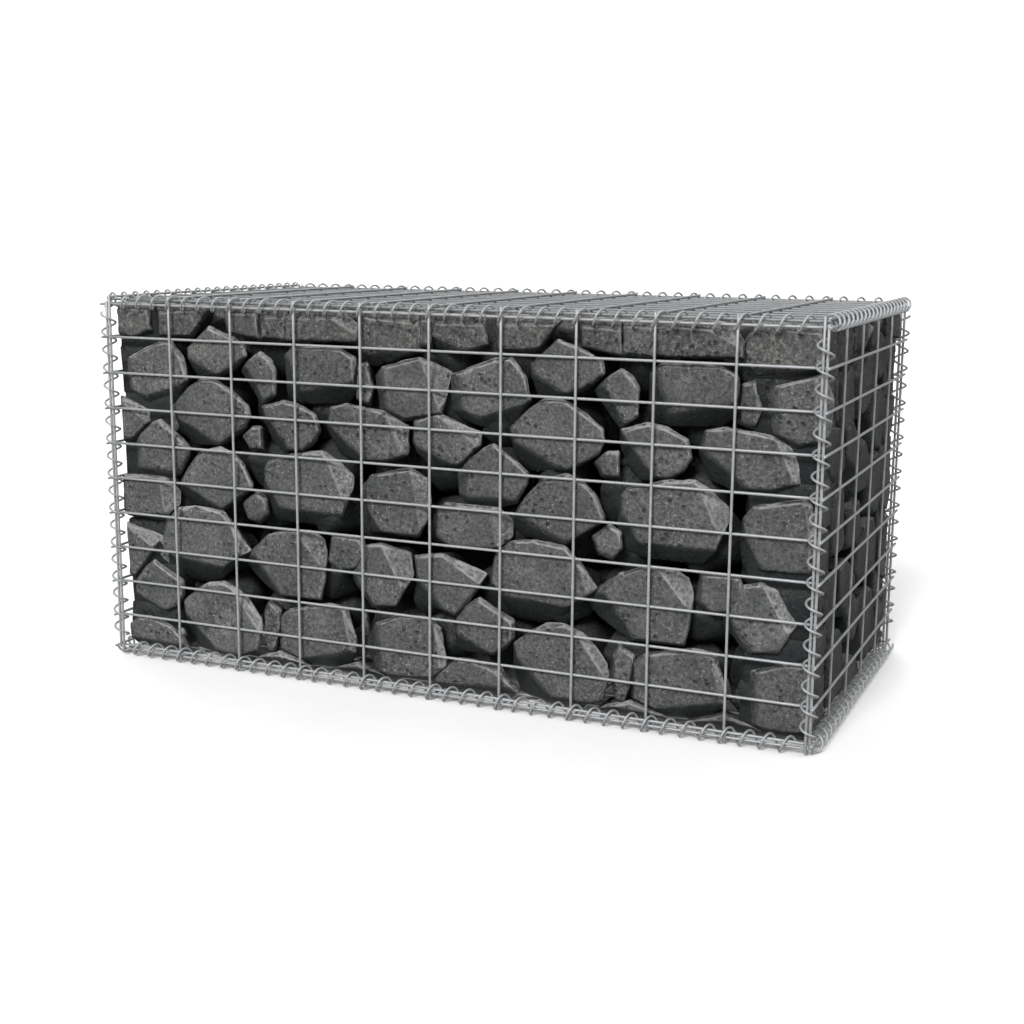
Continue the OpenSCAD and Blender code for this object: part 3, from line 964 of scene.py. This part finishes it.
def pack_heart(lower, upper, rng):
    """The boulders behind the faces, the second layer that shows in the gaps and all within it."""
    inside = HALF - HEART_INSET
    counts = [max(1, round(2 * inside[i] / HEART_PITCH[i])) for i in range(3)]
    step = Vector([2 * inside[i] / counts[i] for i in range(3)])
    for ix in range(counts[0] + 1):
        for iy in range(counts[1] + 1):
            for iz in range(counts[2] + 1):
                at = CENTRE - inside + Vector((ix * step.x, iy * step.y, iz * step.z))
                at += Vector([rng.uniform(-12, 12) * MM for _ in range(3)])
                radii = [rng.uniform(44, 57) * MM for _ in range(3)]
                heart_stone(boulder_points(at, radii, rng), lower, upper, rng, "dark", 0.6)


def pack_corners(lower, upper, rng):
    """A column of squared stones up each corner, just behind the front and the back."""
    stand = HALF - CORNER_STONE - CORNER_SET_BACK
    last = CORNER_STONES - 1
    for side in (-1, 1):
        for face in (-1, 1):
            for i in range(CORNER_STONES):
                at = CENTRE + Vector((side * stand.x, face * stand.y, stand.z * (2 * i / last - 1)))
                at.z += rng.uniform(-4, 4) * MM if 0 < i < last else 0
                heart_stone(corner_points(at, CORNER_STONE, rng), lower, upper, rng, "plain", 0.75)


def finish_lift(label, lower, upper, material):
    for lift, shape in (("lower", lower), ("upper", upper)):
        if shape.count:
            obj = shape.build(f"stones_{label}_{lift}", material)
            place(obj, [f"stone_lift_{lift}"])


def build_stones(material):
    for face, plan in LAYOUT.items():
        lower, upper = Shape(), Shape()
        lay_face(face, lower, upper, **plan)
        finish_lift(face, lower, upper, material)
    lower, upper = Shape(), Shape()
    rng = random.Random("core")
    pack_heart(lower, upper, rng)
    pack_corners(lower, upper, rng)
    finish_lift("heart", lower, upper, material)


# ---------------------------------------------------------------- studio

SKY = 0.5
# Each sun: the way its light goes, its strength and its spread in degrees.
SUNS = {
    "key": ((0.0, 0.82, -0.56), 3.4, 20),  # from straight in front and above
    "side_fill": ((-0.75, 0.15, -0.60), 0.8, 50),  # from the right, for the end
    "back_fill": ((0.45, -0.75, -0.90), 1.1, 50),  # from behind and above, for the lid
}
CAMERA_AT = Vector((859.5, -1918.4, 615.3)) * MM
CAMERA_TURN = 24.015  # degrees to the left of +Y
CAMERA_DIP = 10.882
CAMERA_ROLL = 0.401
CAMERA_LENS = 51.93
DOME_R = 60
FLOOR_R = 30


def add_camera():
    """The photo's view: a long lens a little above the lid, off the right front corner."""
    turn = Matrix.Rotation(math.radians(CAMERA_TURN), 3, "Z")
    pitch, roll = math.radians(CAMERA_DIP), math.radians(CAMERA_ROLL)
    forward = turn @ Vector((0, math.cos(pitch), -math.sin(pitch)))
    right = turn @ Vector((1, 0, 0))
    up = right.cross(forward)
    level_right = math.cos(roll) * right + math.sin(roll) * up
    level_up = math.cos(roll) * up - math.sin(roll) * right
    matrix = Matrix((level_right, level_up, -forward)).transposed().to_4x4()
    matrix.translation = CAMERA_AT
    data = bpy.data.cameras.new("camera")
    data.lens = CAMERA_LENS
    data.sensor_width = 36
    data.clip_start = 0.05
    camera = bpy.data.objects.new("camera", data)
    camera.matrix_world = matrix
    bpy.context.scene.collection.objects.link(camera)
    bpy.context.scene.camera = camera


def add_sun(name, toward, strength, spread):
    data = bpy.data.lights.new(name, "SUN")
    data.energy = strength
    data.angle = math.radians(spread)
    sun = bpy.data.objects.new(name, data)
    sun.rotation_mode = "QUATERNION"
    sun.rotation_quaternion = Vector(toward).to_track_quat("-Z", "Y")
    bpy.context.scene.collection.objects.link(sun)


def add_backdrop():
    """A white dome round the studio. Only the camera sees it, so it lights nothing."""
    bpy.ops.mesh.primitive_uv_sphere_add(segments=48, ring_count=24, radius=DOME_R)
    dome = bpy.context.object
    dome.name = "backdrop"
    material, _, shader = new_material("white_backdrop")
    shader.inputs["Base Color"].default_value = (0, 0, 0, 1)
    shader.inputs["Emission Color"].default_value = WHITE
    shader.inputs["Emission Strength"].default_value = 1.0
    dome.data.materials.append(material)
    dome.visible_diffuse = False
    dome.visible_glossy = False
    dome.visible_shadow = False


def add_floor():
    bpy.ops.mesh.primitive_circle_add(vertices=96, radius=FLOOR_R, fill_type="NGON", location=(0, 0, 0))
    floor = bpy.context.object
    floor.name = "floor"
    floor.data.materials.append(pale_floor())
    floor.visible_diffuse = False
    floor.visible_glossy = False


def add_studio():
    """A white sky, the suns, the backdrop and the floor."""
    world = bpy.data.worlds.new("studio")
    world.use_nodes = True
    background = world.node_tree.nodes["Background"]
    background.inputs["Color"].default_value = WHITE
    background.inputs["Strength"].default_value = SKY
    bpy.context.scene.world = world
    bpy.context.scene.view_settings.view_transform = "Standard"
    for name, (toward, strength, spread) in SUNS.items():
        add_sun(name, toward, strength, spread)
    add_backdrop()
    add_floor()


add_camera()
add_studio()
build_panels(galvanised("galvanised_mesh", 0.76))
build_spirals(galvanised("galvanised_spiral", 0.72))
build_stones(broken_stone())
